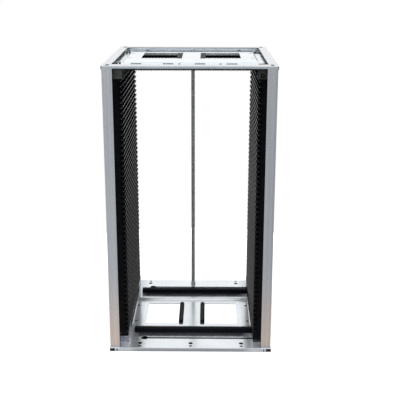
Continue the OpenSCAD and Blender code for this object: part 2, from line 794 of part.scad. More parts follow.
pinion(1);  // pinion_bottom_rear
shaft_clips();  // shaft_clips_bottom
on_top() pinion_shaft();  // pinion_shaft_top
on_top() pinion(-1);  // pinion_top_front
on_top() pinion(1);  // pinion_top_rear
on_top() shaft_clips();  // shaft_clips_top
stop_rod();
stop_rod_collar();
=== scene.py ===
"""Finished look of a board magazine: two pressed plates on four posts, a fixed and a sliding comb wall."""

import functools
import itertools
import json
import math

import bmesh
import bpy
from bpy.props import FloatProperty, FloatVectorProperty, IntProperty, PointerProperty
from mathutils import Matrix, Quaternion, Vector

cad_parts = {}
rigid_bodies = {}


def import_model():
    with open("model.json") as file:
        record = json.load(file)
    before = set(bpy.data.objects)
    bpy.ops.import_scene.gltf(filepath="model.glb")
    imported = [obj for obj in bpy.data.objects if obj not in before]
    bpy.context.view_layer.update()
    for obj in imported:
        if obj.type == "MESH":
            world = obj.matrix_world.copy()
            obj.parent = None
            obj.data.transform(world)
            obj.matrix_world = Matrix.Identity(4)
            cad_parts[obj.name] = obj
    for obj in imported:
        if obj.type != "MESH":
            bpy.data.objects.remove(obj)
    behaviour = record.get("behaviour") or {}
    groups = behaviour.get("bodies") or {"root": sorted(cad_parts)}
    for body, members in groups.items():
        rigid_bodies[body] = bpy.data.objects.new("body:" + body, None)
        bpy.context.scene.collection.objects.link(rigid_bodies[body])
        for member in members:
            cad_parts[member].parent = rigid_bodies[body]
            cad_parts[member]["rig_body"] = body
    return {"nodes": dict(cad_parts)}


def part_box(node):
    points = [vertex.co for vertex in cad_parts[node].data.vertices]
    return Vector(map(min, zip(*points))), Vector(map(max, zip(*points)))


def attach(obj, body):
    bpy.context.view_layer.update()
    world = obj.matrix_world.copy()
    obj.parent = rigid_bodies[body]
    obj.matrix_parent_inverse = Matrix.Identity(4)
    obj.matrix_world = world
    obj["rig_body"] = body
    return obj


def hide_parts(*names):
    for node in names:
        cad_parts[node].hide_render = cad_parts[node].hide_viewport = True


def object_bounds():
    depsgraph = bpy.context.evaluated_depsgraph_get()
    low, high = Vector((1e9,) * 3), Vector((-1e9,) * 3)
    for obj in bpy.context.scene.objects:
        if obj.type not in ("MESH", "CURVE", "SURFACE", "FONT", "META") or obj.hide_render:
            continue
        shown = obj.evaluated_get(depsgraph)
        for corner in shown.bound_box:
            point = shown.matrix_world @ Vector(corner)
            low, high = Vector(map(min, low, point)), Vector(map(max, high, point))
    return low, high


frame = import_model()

CAD_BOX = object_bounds()

bl_info = {
    "name": "Board Magazine",
    "version": (1, 0, 0),
    "blender": (4, 5, 0),
    "location": "3D View > Sidebar > Magazine",
    "description": "Dresses the packed board magazine with finished pieces and materials",
    "category": "Object",
}

MM = 0.001
# Vertices closer than this are one vertex
MERGE_GAP = 0.002 * MM
# Faces that differ by less than this are one flat face
FLAT_ANGLE = math.radians(0.6)
# Edges that turn by more than this stay sharp
CREASE_ANGLE = math.radians(32)
# Points closer than this to the outer side of a post or wall lie on it
ON_SIDE = 0.01 * MM
# Points closer than this to a plate's rim, fold or flange lie on it
ON_RIM = 0.05 * MM
# Edges shorter than this are no bends of a plate's panel
LONG_BEND = 50 * MM
# Half width and half depth of the field round the plates' windows
WINDOW_REACH = Vector((0.108, 0.062))
# The floor is seen this much further back through the windows
WINDOW_BACK = 0.02
SIDES = ("front", "rear")
ENDS = ("bottom", "top")
HANDS = ("left", "right")
WALLS = ("fixed", "sliding")


# Settings

def length(name, description, value):
    """A length in metres, given in millimetres."""
    return FloatProperty(name=name, description=description, default=value * MM, min=0, subtype="DISTANCE",
                         unit="LENGTH", precision=5)


def colour(name, description, *rgb):
    """A linear colour."""
    return FloatVectorProperty(name=name, description=description, default=rgb, size=3, min=0, max=1,
                               subtype="COLOR")


def spot(name, description, *place):
    """A point in metres."""
    return FloatVectorProperty(name=name, description=description, default=place, size=3,
                               subtype="TRANSLATION", unit="LENGTH")


def level(name, description, value, least=0, unit="NONE"):
    """A plain number, or a power in watts."""
    return FloatProperty(name=name, description=description, default=value, min=least, unit=unit)


class MagazineSizes(bpy.types.PropertyGroup):
    """Edge forms, small fittings, worn zones and zones of painted light and shade that the plain solids leave
    out
    """

    fold_radius: length("Fold radius", "Outer radius of the folded sheet", 1.0)
    plate_corner: length("Plate corner", "Radius of the plates' upright corners", 3)
    sheet: length("Sheet", "Thickness of the plates' sheet", 1.2)
    rim_lean: length("Rim lean", "Outward lean of the rim's inner side at its return flange", 0.7)
    bend_radius: length("Bend radius", "Rounding of the pressed panel's bends", 1.6)
    sheet_edge: length("Sheet edge", "Rounding of cut sheet edges", 0.25)
    # Painted shade on the upper plate's rim reaches this high above its lower edge
    shaded_fold: length("Shaded fold", "Height of the shaded lower fold of the upper plate's rim", 2.5)
    matt_from: length("Matt from", "Distance from the middle where the lower plate begins to turn matt", 104)
    matt_to: length("Matt to", "Distance from the middle where the lower plate is matt", 122)
    post_corner: length("Post corner", "Rounding of the posts' upright corners", 0.9)
    # Depth of the painted shade on the posts' inner sides
    post_dull: length("Post dull side", "Depth of the posts' dull inner side", 0.15)
    moulded_edge: length("Moulded edge", "Rounding of moulded plastic edges", 0.35)
    tooth_edge: length("Tooth edge", "Rounding of gear teeth", 0.1)
    turned_edge: length("Turned edge", "Chamfer of turned metal pieces", 0.3)
    grip_edge: length("Grip edge", "Rounding of the soft edge trims", 0.8)
    slot_pitch: length("Slot pitch", "Distance from board slot to board slot", 10)
    wall_skin: length("Wall skin", "Moulded skin on the outer side of a comb wall", 0.6)
    rib_tip: length("Rib tip", "Thickness of a comb rib at its tip", 3.2)
    rib_root: length("Rib root", "Thickness of a comb rib at its root", 5)
    rib_nose: length("Rib nose", "Thickness of a comb rib at its ends", 2.2)
    rib_recess: length("Rib recess", "Set-back of a comb rib's tip at its ends", 0.8)
    rib_lead: length("Rib lead-in", "Length of the taper at both ends of a comb rib", 12)
    rib_round: length("Rib rounding", "Rounding along the tip of a comb rib", 0.8)
    # Painted light on the rib noses starts to grow from this height
    scuff_from: length("Scuff from", "Height from which the rib noses turn paler", 200)
    wear_from: length("Wear from", "Height from which the ribs are polished more", 220)
    # Also the height where the painted light on the rib noses is strongest
    wear_to: length("Wear to", "Height at which the ribs are worn most", 500)
    recess_depth: length("Recess depth", "Depth of the cross recess in a screw head", 1.3)
    recess_w: length("Recess width", "Width of the cross recess in a screw head", 0.9)
    head_facets: IntProperty(name="Head facets", description="Facets round a screw head", default=28, min=12)


class MagazineColours(bpy.types.PropertyGroup):
    """Main colour of each finish"""

    plate: colour("Plate", "Bright plated sheet of both plates", 0.84, 0.885, 0.925)
    post: colour("Post", "Anodised extrusion of the posts", 0.84, 0.84, 0.88)
    comb: colour("Comb", "Black conductive plastic of the comb walls", 0.008, 0.008, 0.009)
    gear: colour("Gear", "Black plastic of gear racks and pinions", 0.004, 0.005, 0.009)
    grip: colour("Grip", "Black rubber of the edge trims", 0.006, 0.006, 0.008)
    foot: colour("Foot", "Black plastic of the feet", 0.010, 0.009, 0.009)
    carrier: colour("Carrier", "Passivated zinc of the carriers", 0.12, 0.13, 0.11)
    zinc: colour("Zinc", "Paler zinc of the fixed wall's lower carrier", 0.30, 0.33, 0.38)
    fastener: colour("Fastener", "Plated steel of screws, nuts and pins", 0.58, 0.60, 0.62)
    rack_screw: colour("Rack screw", "Blackened steel of the gear rack screws", 0.035, 0.04, 0.05)
    shaft: colour("Shaft", "Black oxide steel of the pinion shafts", 0.05, 0.05, 0.055)
    rod: colour("Rod", "Plated steel of the stop rod", 0.70, 0.75, 0.73)


class MagazineStage(bpy.types.PropertyGroup):
    """Camera, lamps, floor and card"""

    camera_place: spot("Camera place", "Where the camera stands", 0.03132, -1.60148, 0.73366)
    camera_target: spot("Camera target", "Point that the camera looks at", 0.01723, 0.0, 0.26121)
    camera_roll: FloatProperty(name="Camera roll", description="Turn of the camera about its line of sight",
                               default=math.radians(0.083), subtype="ANGLE", unit="ROTATION")
    camera_lens: level("Camera lens", "Focal length in millimetres", 71.327, 1)
    camera_sensor: level("Camera sensor", "Sensor width in millimetres", 36, 1)
    lamp_target: spot("Lamp target", "Point that each lamp is turned to", 0, 0, 0.28)
    top_power: level("Overhead light", "Power of the overhead softbox", 2.5, unit="POWER")
    side_power: level("Side light", "Power of each side softbox", 2, unit="POWER")
    back_power: level("Backdrop light", "Power of the softbox behind the rack", 0.4, unit="POWER")
    ambient: level("Ambient", "Level of the light from all round", 0.9)
    floor: colour("Floor", "Pale floor", 0.90, 0.88, 0.87)
    floor_radius: length("Floor radius", "Radius of the pale floor", 600)
    card: colour("Card", "Grey card round the rack", 0.38, 0.405, 0.42)
    warm_card: colour("Warm card", "Warm inner zone of that card", 0.56, 0.465, 0.385)
    card_lift: length("Card lift", "Height of the card above the floor", 0.5)
    card_width: length("Card width", "Half width of the card", 3000)
    card_depth: length("Card depth", "Half depth of the card", 2600)
    card_rear: length("Card rear", "Distance of the card's raised edge, behind the camera", 2900)
    card_rise: length("Card rise", "Height of the card's raised edge", 1500)
    surround: colour("Surround", "Dark ground beyond the floor, seen in reflections", 0.012, 0.012, 0.013)


def sizes():
    return bpy.context.scene.magazine_sizes


def colours():
    return bpy.context.scene.magazine_colours


# Nodes

def add_node(tree, kind, inputs=None, **settings):
    """A new node with its settings, whose inputs are linked to outputs or set to values."""
    node = tree.nodes.new(kind)
    for name, value in settings.items():
        setattr(node, name, value)
    for key, value in (inputs or {}).items():
        if isinstance(value, bpy.types.NodeSocket):
            tree.links.new(value, node.inputs[key])
        else:
            node.inputs[key].default_value = value
    return node


class Nodes:
    """Short calls for the nodes of one shader tree."""

    def __init__(self, tree):
        self.tree = tree
        tree.nodes.clear()

    def node(self, kind, inputs=None, **settings):
        """Outputs of a new shader node."""
        return add_node(self.tree, "ShaderNode" + kind, inputs, **settings).outputs

    def arithmetic(self, first, second, operation):
        """Arithmetic on an output and another output or a number."""
        return self.node("Math", {0: first, 1: second}, operation=operation)["Value"]

    def both(self, first, second):
        """Product of two values: 1 where both are 1."""
        return self.arithmetic(first, second, "MULTIPLY")

    def either(self, first, second):
        """The larger of two values."""
        return self.arithmetic(first, second, "MAXIMUM")

    def minus(self, first, second):
        """One value less another."""
        return self.arithmetic(first, second, "SUBTRACT")

    def above(self, source, limit):
        """1 where a value is above a limit."""
        return self.arithmetic(source, limit, "GREATER_THAN")

    def below(self, source, limit):
        """1 where a value is below a limit."""
        return self.arithmetic(source, limit, "LESS_THAN")

    def within(self, source, low, high):
        """1 between two limits, 0 outside."""
        return self.both(self.above(source, low), self.below(source, high))

    def span(self, source, low, high, start=0.3, end=0.7):
        """Map a value from start and end to low and high."""
        limits = {"From Min": start, "From Max": end, "To Min": low, "To Max": high}
        return self.node("MapRange", {"Value": source, **limits})["Result"]

    def part(self, vector, name):
        """X, Y or Z of a vector."""
        return self.node("SeparateXYZ", {"Vector": vector})[name]

    def mix_shaders(self, factor, first, second):
        """Mix two shaders by a factor output."""
        return self.node("MixShader", {"Fac": factor, 1: first, 2: second})["Shader"]


class Finish(Nodes):
    """A material with one principled shader, and the patterns that drive it."""

    def __init__(self, name, **sockets):
        self.material = bpy.data.materials.new(name)
        self.material.use_nodes = True
        super().__init__(self.material.node_tree)
        values = {socket.replace("_", " "): value for socket, value in sockets.items()}
        self.shader = add_node(self.tree, "ShaderNodeBsdfPrincipled", values)
        self.node("OutputMaterial", {"Surface": self.shader.outputs["BSDF"]})

    def feed(self, socket, source):
        """Drive one of the shader's sockets."""
        self.tree.links.new(source, self.shader.inputs[socket])

    def place(self, stretch=(1, 1, 1)):
        """The piece's own coordinates, stretched."""
        return self.node("Mapping", {"Vector": self.node("TexCoord")["Object"], "Scale": stretch})["Vector"]

    def axis(self, name):
        """One of the piece's own coordinates, in metres."""
        return self.part(self.place(), name)

    def distance(self, name):
        """Distance from the rack's middle along X or Y."""
        return self.arithmetic(self.axis(name), 0, "ABSOLUTE")

    def reach(self, x, y):
        """Distance from the rack's upright axis."""
        return self.arithmetic(self.arithmetic(self.both(x, x), self.both(y, y), "ADD"), 0.5, "POWER")

    def noise(self, scale, stretch=(1, 1, 1), detail=3.0):
        """Cloudy pattern from 0 to 1, with so many features to the metre."""
        return self.node("TexNoise", {"Vector": self.place(stretch), "Scale": scale, "Detail": detail})["Fac"]

    def cells(self, scale):
        """A grey value for each cell of a crystal pattern."""
        cell = self.node("TexVoronoi", {"Vector": self.place(), "Scale": scale})["Color"]
        return self.node("SeparateColor", {"Color": cell})["Red"]

    def attribute(self, name):
        """A value that the mesh carries."""
        return self.node("Attribute", attribute_name=name)["Fac"]

    def shades(self, source, first, second, start=0.3, end=0.7):
        """Blend two colours by a value."""
        node = add_node(self.tree, "ShaderNodeValToRGB", {"Fac": source})
        for stop, at, rgb in zip(node.color_ramp.elements, (start, end), (first, second)):
            stop.position = at
            stop.color = (*rgb, 1)
        return node.outputs["Color"]

    def blend(self, factor, first, second):
        """Mix two colour outputs by a factor output."""
        return self.node("Mix", {"Factor": factor, 6: first, 7: second}, data_type="RGBA")[2]

    def bump(self, source, distance):
        """Relief of the given depth in metres."""
        relief = self.node("Bump", {"Height": source, "Distance": distance, "Strength": 1.0})
        self.feed("Normal", relief["Normal"])


# Finishes

def tint(rgb, factor):
    """A colour made lighter or darker."""
    return tuple(min(1.0, channel * factor) for channel in rgb)


def plate_finish():
    """Bright plated sheet: rolled grain, painted shade on the cut faces of holes and slots and on the upper
    plate's lower fold, slightly darker return flanges and matt ends below.
    """
    s = sizes()
    finish = Finish("bright_plated_sheet")
    rgb = colours().plate
    sheet = finish.shades(finish.noise(14, (1, 2, 1)), tint(rgb, 0.96), tint(rgb, 1.03))
    # Near-black colour for painted shade on the cut faces of holes and slots and on the upper plate's lower
    # fold
    dull = finish.shades(finish.noise(200), tint(rgb, 0.03), tint(rgb, 0.06))
    low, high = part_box("top_plate")
    # Painted shade on the lower fold of the upper plate's rim, front and rear, between the posts
    fold = finish.within(finish.axis("Z"), low.z - MM, low.z + s.shaded_fold)
    rim = finish.above(finish.distance("Y"), high.y - s.sheet / 2)
    bay = finish.within(finish.axis("X"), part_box("post_front_left")[1].x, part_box("post_front_right")[0].x)
    shaded = finish.either(finish.attribute("dull"), finish.both(finish.both(fold, rim), bay))
    finish.feed("Base Color", finish.blend(shaded, sheet, dull))
    ends = finish.span(finish.distance("X"), 0, 1, s.matt_from, s.matt_to)
    matt = finish.both(ends, finish.below(finish.axis("Z"), low.z / 2))
    finish.feed("Metallic", finish.span(matt, 0.9, 0.4, 0, 1))
    finish.feed("Roughness", finish.span(finish.noise(90, (1, 9, 1)), 0.15, 0.22))
    finish.bump(finish.noise(16, (1, 1.6, 1), 1), 0.06 * MM)
    return finish.material


def post_finish():
    """Satin anodised extrusion with fine upright draw lines, and painted shade on its inner sides."""
    finish = Finish("anodised_extrusion", Metallic=0.9)
    rgb = colours().post
    lines = finish.noise(320, (1, 1, 0.004))
    face = finish.shades(lines, tint(rgb, 0.92), tint(rgb, 1.07))
    # Near-black painted shade for the posts' inner sides
    dull = finish.shades(lines, tint(rgb, 0.03), tint(rgb, 0.05))
    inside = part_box("post_front_right")[0].x + sizes().post_dull
    finish.feed("Base Color", finish.blend(finish.below(finish.distance("X"), inside), face, dull))
    finish.feed("Roughness", finish.span(finish.noise(900, (1, 1, 0.01)), 0.16, 0.24))
    finish.bump(finish.noise(1400, (1, 1, 0.004)), 0.006 * MM)
    return finish.material


def comb_finish():
    """Matt black filled plastic whose rib edges boards have polished, most of all higher up, with painted
    light on the rib noses, stronger higher up.
    """
    s = sizes()
    finish = Finish("black_comb_plastic", Metallic=0.0)
    rgb = colours().comb
    plain = finish.shades(finish.noise(60), rgb, tint(rgb, 1.7))
    # Painted light: the rib noses are lighter than the other faces, more so higher up
    painted_nose_light = finish.shades(finish.axis("Z"), tint(rgb, 2.5), tint(rgb, 7), s.scuff_from, s.wear_to)
    finish.feed("Base Color", finish.blend(finish.attribute("nose"), plain, painted_nose_light))
    worn = finish.span(finish.axis("Z"), 0.55, 1, s.wear_from, s.wear_to)
    polish = finish.both(finish.attribute("polish"), worn)
    finish.feed("Specular IOR Level", finish.span(polish, 0.0, 0.5, 0, 1))
    grain = finish.span(finish.noise(240), 0.0, 0.1)
    finish.feed("Roughness", finish.arithmetic(finish.span(polish, 0.42, 0.16, 0, 1), grain, "ADD"))
    finish.bump(finish.noise(2600, detail=2), 0.004 * MM)
    return finish.material


def moulded(name, rgb, gloss, clouds, lift, patches, rough, grain, relief):
    """Black moulding with cloudy colour, patchy roughness and a fine grain."""
    finish = Finish(name, Metallic=0.0, Specular_IOR_Level=gloss)
    finish.feed("Base Color", finish.shades(finish.noise(clouds), rgb, tint(rgb, lift)))
    finish.feed("Roughness", finish.span(finish.noise(patches), *rough))
    finish.bump(finish.noise(grain, detail=2), relief)
    return finish.material


def gear_finish():
    """Dense black gear plastic, slightly glossy."""
    return moulded("black_gear_plastic", colours().gear, gloss=0.04, clouds=120, lift=1.6, patches=300,
                   rough=(0.36, 0.50), grain=1800, relief=0.015 * MM)


def grip_finish():
    """Matt black rubber."""
    return moulded("black_grip_rubber", colours().grip, gloss=0.12, clouds=200, lift=1.8, patches=500,
                   rough=(0.45, 0.62), grain=3000, relief=0.03 * MM)


def foot_finish():
    """Black moulded plastic with a spark-eroded grain."""
    return moulded("black_foot_plastic", colours().foot, gloss=0.4, clouds=300, lift=1.7, patches=700,
                   rough=(0.42, 0.6), grain=4000, relief=0.03 * MM)


def carrier_finish():
    """Zinc coating with small crystals: olive above and paler below, and painted shade that makes the sliding
    wall's carriers darker.
    """
    finish = Finish("olive_zinc_sheet", Metallic=0.85)
    rgb = colours().carrier
    bare = colours().zinc
    crystals = finish.cells(260)
    olive = finish.shades(crystals, tint(rgb, 0.78), tint(rgb, 1.25), 0.1, 0.9)
    clouds = finish.shades(finish.noise(35), tint(rgb, 0.7), tint(rgb, 1.2))
    upper = finish.blend(finish.noise(50), olive, clouds)
    lower = finish.shades(finish.cells(320), tint(bare, 0.6), tint(bare, 1.4), 0.1, 0.9)
    fixed = finish.blend(finish.below(finish.axis("Z"), CAD_BOX[1].z / 2), upper, lower)
    # Painted shade: the sliding wall's carriers take a darker copy of the olive
    dark = finish.shades(crystals, tint(rgb, 0.3), tint(rgb, 0.6), 0.1, 0.9)
    finish.feed("Base Color", finish.blend(finish.above(finish.axis("X"), 0), fixed, dark))
    finish.feed("Roughness", finish.span(crystals, 0.24, 0.42, 0.1, 0.9))
    finish.bump(finish.noise(300), 0.03 * MM)
    return finish.material


def steel_finish(name, rgb, rough, turned=False):
    """Machined steel: fine marks round the piece, with slight tarnish."""
    finish = Finish(name, Metallic=1.0)
    stretch = (1, 1, 14) if turned else (1, 1, 1)
    finish.feed("Base Color", finish.shades(finish.noise(70), tint(rgb, 0.82), tint(rgb, 1.12)))
    finish.feed("Roughness", finish.span(finish.noise(400, stretch), rough, rough + 0.14))
    finish.bump(finish.noise(900, stretch, 2), 0.008 * MM)
    return finish.material


FINISHES = {
    "plate_sheet": plate_finish,
    "post_aluminium": post_finish,
    "foot_plastic": foot_finish,
    "gear_plastic": gear_finish,
    "grip_rubber": grip_finish,
    "comb_plastic": comb_finish,
    "carrier_zinc": carrier_finish,
    "fastener_steel": lambda: steel_finish("plated_fastener_steel", colours().fastener, 0.2),
    "rack_screw_steel": lambda: steel_finish("blackened_screw_steel", colours().rack_screw, 0.3),
    "shaft_steel": lambda: steel_finish("black_shaft_steel", colours().shaft, 0.3),
    "rod_steel": lambda: steel_finish("dark_rod_steel", colours().rod, 0.42, turned=True),
}


@functools.cache
def finish_of(slot):
    """The material for one of the record's slots, made once."""
    return FINISHES[slot]()


# Meshes

def every(pattern, *words):
    """All names that a pattern makes with each choice of words."""
    return [pattern.format(*choice) for choice in itertools.product(*words)]


def body_of(node):
    """The body that a node belongs to."""
    return frame["nodes"][node]["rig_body"]


def settle(piece, slot, *nodes):
    """Let a piece ride on its nodes' body and stand for those nodes. The slot is not used."""
    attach(piece, body_of(nodes[0]))
    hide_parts(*nodes)
    return piece


def link(name, mesh):
    """A new object at the origin."""
    piece = bpy.data.objects.new(name, mesh)
    bpy.context.scene.collection.objects.link(piece)
    return piece


def bake(piece):
    """Turn what the modifiers make into the piece's own mesh."""
    graph = bpy.context.evaluated_depsgraph_get()
    shape = piece.evaluated_get(graph)
    mesh = bpy.data.meshes.new_from_object(shape, preserve_all_data_layers=True, depsgraph=graph)
    old = piece.data
    piece.modifiers.clear()
    piece.data = mesh
    mesh.name = piece.name
    bpy.data.meshes.remove(old)


def piece_from(work, name, slot):
    """An object with one material from a bmesh, smooth but for its creases. The bmesh is freed."""
    for face in work.faces:
        face.smooth = True
    for edge in work.edges:
        edge.smooth = edge.is_manifold and edge.calc_face_angle(0) < CREASE_ANGLE
    mesh = bpy.data.meshes.new(name)
    work.to_mesh(mesh)
    work.free()
    for attribute in [a.name for a in mesh.attributes if a.name in ("custom_normal", "UVMap")]:
        mesh.attributes.remove(mesh.attributes[attribute])
    mesh.materials.clear()
    mesh.materials.append(finish_of(slot))
    return link(name, mesh)


def merged_copy(node):
    """Bmesh of a node's triangles, joined at their vertices."""
    work = bmesh.new()
    work.from_mesh(frame["nodes"][node].data)
    bmesh.ops.remove_doubles(work, verts=work.verts, dist=MERGE_GAP)
    return work


def node_copy(node):
    """Bmesh of a node, with its triangles merged into whole faces."""
    work = merged_copy(node)
    bmesh.ops.dissolve_limit(work, angle_limit=FLAT_ANGLE, verts=work.verts, edges=work.edges, delimit=set())
    return work


def round_edges(work, edges, radius, segments):
    """Round the chosen edges of a bmesh."""
    bmesh.ops.bevel(work, geom=edges, offset=radius, offset_type="OFFSET", segments=segments, profile=0.5,
                    affect="EDGES", clamp_overlap=False, miter_outer="SHARP")


def join_rings(work, rings):
    """Faces between rings of vertices that follow each other. A ring of one vertex is a tip."""
    count = max(len(ring) for ring in rings)
    for one, two in zip(rings, rings[1:]):
        for k in range(count):
            after = (k + 1) % count
            corners = [one[k % len(one)], one[after % len(one)], two[after % len(two)], two[k % len(two)]]
            work.faces.new(list(dict.fromkeys(corners)))


def softened(node, slot, width, segments=2, work=None):
    """Finished copy of a node that stands for it, with its sharp edges rounded and its flats kept flat."""
    piece = piece_from(work or node_copy(node), node + "_finished", slot)
    bevel = piece.modifiers.new("edges", "BEVEL")
    bevel.width = width
    bevel.segments = segments
    bevel.limit_method = "ANGLE"
    bevel.angle_limit = CREASE_ANGLE
    bevel.use_clamp_overlap = True
    bevel.miter_outer = "MITER_SHARP"
    normals = piece.modifiers.new("normals", "WEIGHTED_NORMAL")
    normals.keep_sharp = True
    bake(piece)
    return settle(piece, slot, node)


# Node trees

def start_tree(name, **kinds):
    """A node tree with named inputs and one geometry output, and its inputs' sockets."""
    tree = bpy.data.node_groups.new(name, "GeometryNodeTree")
    tree.interface.new_socket("Geometry", in_out="OUTPUT", socket_type="NodeSocketGeometry")
    for label, kind in kinds.items():
        tree.interface.new_socket(label, in_out="INPUT", socket_type="NodeSocket" + kind)
    return tree, tree.nodes.new("NodeGroupInput").outputs


def copies_on(tree, inputs, points, **placing):
    """Set the piece on each point, make the copies real and paint them."""
    piece = add_node(tree, "GeometryNodeObjectInfo", {"Object": inputs["Piece"]}).outputs["Geometry"]
    copies = add_node(tree, "GeometryNodeInstanceOnPoints", {"Points": points, "Instance": piece, **placing})
    real = add_node(tree, "GeometryNodeRealizeInstances", {"Geometry": copies.outputs["Instances"]})
    paint = add_node(tree, "GeometryNodeSetMaterial",
                     {"Geometry": real.outputs["Geometry"], "Material": inputs["Finish"]})
    add_node(tree, "NodeGroupOutput", {"Geometry": paint.outputs["Geometry"]})


@functools.cache
def copies_tree():
    """Tree that puts a copy of one piece at each point, turned as the point says."""
    tree, inputs = start_tree("copies at points", Geometry="Geometry", Piece="Object", Finish="Material")
    turn = add_node(tree, "GeometryNodeInputNamedAttribute", {"Name": "turn"}, data_type="FLOAT_VECTOR")
    rotate = add_node(tree, "FunctionNodeEulerToRotation", {"Euler": turn.outputs["Attribute"]})
    copies_on(tree, inputs, inputs["Geometry"], Rotation=rotate.outputs["Rotation"])
    return tree


@functools.cache
def row_tree():
    """Tree that sets copies of one piece in a straight row."""
    tree, inputs = start_tree("row of copies", Piece="Object", Count="Int", Start="Vector", Step="Vector",
                              Finish="Material")
    ends = {"Count": inputs["Count"], "Start Location": inputs["Start"], "Offset": inputs["Step"]}
    copies_on(tree, inputs, add_node(tree, "GeometryNodeMeshLine", ends).outputs["Mesh"])
    return tree


def grow(piece, tree, **values):
    """Run a node tree on a piece with the named inputs, and keep the result as a plain mesh."""
    modifier = piece.modifiers.new("copies", "NODES")
    keys = {item.name: item.identifier for item in tree.interface.items_tree if item.in_out == "INPUT"}
    modifier.node_group = tree
    for name, value in values.items():
        modifier[keys[name]] = value
    bake(piece)


# Stage

class MAGAZINE_OT_stage(bpy.types.Operator):
    """Set up the camera, the lamps, the floor and the card"""

    bl_idname = "magazine.stage"
    bl_label = "Stage"

    def execute(self, context):
        stage = context.scene.magazine_stage
        context.scene.view_settings.view_transform = "Standard"
        self.camera(context, stage)
        self.lamps(stage)
        self.world(context, stage)
        self.floor(stage)
        self.card(stage)
        return {"FINISHED"}

    def camera(self, context, stage):
        data = bpy.data.cameras.new("photo_camera")
        data.lens = stage.camera_lens
        data.sensor_width = stage.camera_sensor
        camera = link("photo_camera", data)
        place = Vector(stage.camera_place)
        camera.location = place
        turn = (Vector(stage.camera_target) - place).to_track_quat("-Z", "Y")
        camera.rotation_euler = (turn @ Quaternion((0, 0, 1), stage.camera_roll)).to_euler()
        context.scene.camera = camera

    def lamps(self, stage):
        target = Vector(stage.lamp_target)
        self.lamp("overhead_softbox", stage.top_power, (2.2, 2.2), (0, 0.1, 2.3), target)
        self.lamp("backdrop_softbox", stage.back_power, (2.2, 1.4), (0, 2.0, 1.05), target)
        for name, side in (("left_softbox", -1), ("right_softbox", 1)):
            self.lamp(name, stage.side_power, (1.6, 1.6), (side * 2.2, -1.2, 1.3), target)

    def lamp(self, name, power, spread, place, target):
        data = bpy.data.lights.new(name, "AREA")
        data.energy = power
        data.shape = "RECTANGLE"
        data.size, data.size_y = spread
        lamp = link(name, data)
        lamp.visible_camera = False
        lamp.location = place
        lamp.rotation_euler = (target - Vector(place)).to_track_quat("-Z", "Y").to_euler()

    def world(self, context, stage):
        """White where it is seen, soft light for the rest, and below the horizon dark for all but the eye."""
        world = bpy.data.worlds.new("white_studio")
        context.scene.world = world
        world.use_nodes = True
        sky = Nodes(world.node_tree)
        path = sky.node("LightPath")
        mirrored = sky.either(path["Is Camera Ray"], path["Is Glossy Ray"])
        seen = sky.either(mirrored, path["Is Transmission Ray"])
        white = sky.node("Background", {"Color": (1, 1, 1, 1)})[0]
        soft = sky.node("Background", {"Color": (0.97, 0.98, 1, 1), "Strength": stage.ambient})[0]
        ground = sky.node("Background", {"Color": (*stage.surround, 1)})[0]
        down = sky.span(sky.part(sky.node("TexCoord")["Generated"], "Z"), 1, 0, start=-0.03, end=0.06)
        dark = sky.both(down, sky.span(path["Is Camera Ray"], 1, 0, 0, 1))
        light = sky.mix_shaders(dark, sky.mix_shaders(seen, soft, white), ground)
        sky.node("OutputWorld", {"Surface": light})

    def floor(self, stage):
        """Pale floor that is white to the eye and keeps the shadow, with painted shadow under the rack so
        that it stays dark under the plate's holes; the field under the windows stays lit.
        """
        work = bmesh.new()
        bmesh.ops.create_circle(work, cap_ends=True, segments=96, radius=stage.floor_radius)
        mesh = bpy.data.meshes.new("floor")
        work.to_mesh(mesh)
        work.free()
        finish = Finish("pale_floor", Roughness=1.0, Specular_IOR_Level=0.0, Emission_Color=(1, 1, 1, 1))
        low, high = CAD_BOX
        x = finish.axis("X")
        y = finish.axis("Y")
        under = finish.both(finish.within(x, low.x, high.x), finish.within(y, low.y, high.y))
        across = finish.within(x, -WINDOW_REACH.x, WINDOW_REACH.x)
        lit = finish.both(across, finish.within(y, -WINDOW_REACH.y, WINDOW_REACH.y + WINDOW_BACK))
        # Painted shadow under the rack's footprint, outside the field seen through the windows
        shade = finish.minus(under, lit)
        far = finish.span(finish.reach(x, y), 0.55, 1.0, start=0.3, end=stage.floor_radius)
        open_glow = finish.arithmetic(far, finish.both(lit, 0.6), "ADD")
        glow = finish.either(finish.minus(open_glow, shade), 0)
        path = finish.node("LightPath")
        finish.feed("Emission Strength", finish.both(glow, path["Is Camera Ray"]))
        dark = finish.either(finish.either(shade, 0), path["Is Glossy Ray"])
        # The painted shadow darkens the floor's colour as well; reflections see the floor dark
        finish.feed("Base Color", finish.shades(dark, stage.floor, tint(stage.floor, 0.06), 0, 1))
        mesh.materials.append(finish.material)
        link("floor", mesh)

    def card(self, stage):
        """Card that only reflections show: it lies round the rack and rises behind the camera."""
        wide, deep = (part + MM for part in CAD_BOX[1].xy)
        square = ((-1, -1), (1, -1), (1, 1), (-1, 1))
        inner = [(x * wide, y * deep, stage.card_lift) for x, y in square]
        outer = [(x * stage.card_width, y * stage.card_depth, stage.card_lift) for x, y in square]
        upper = [(x * stage.card_width, -stage.card_rear, stage.card_rise) for x in (-1, 1)]
        sides = [(k, (k + 1) % 4, 4 + (k + 1) % 4, 4 + k) for k in range(4)]
        mesh = bpy.data.meshes.new("front_card")
        mesh.from_pydata(inner + outer + upper, [], [*sides, (4, 5, 9, 8)])
        mesh.materials.append(self.card_finish(stage, wide, deep))
        card = link("front_card", mesh)
        for ray in ("camera", "diffuse", "shadow", "transmission"):
            setattr(card, "visible_" + ray, False)

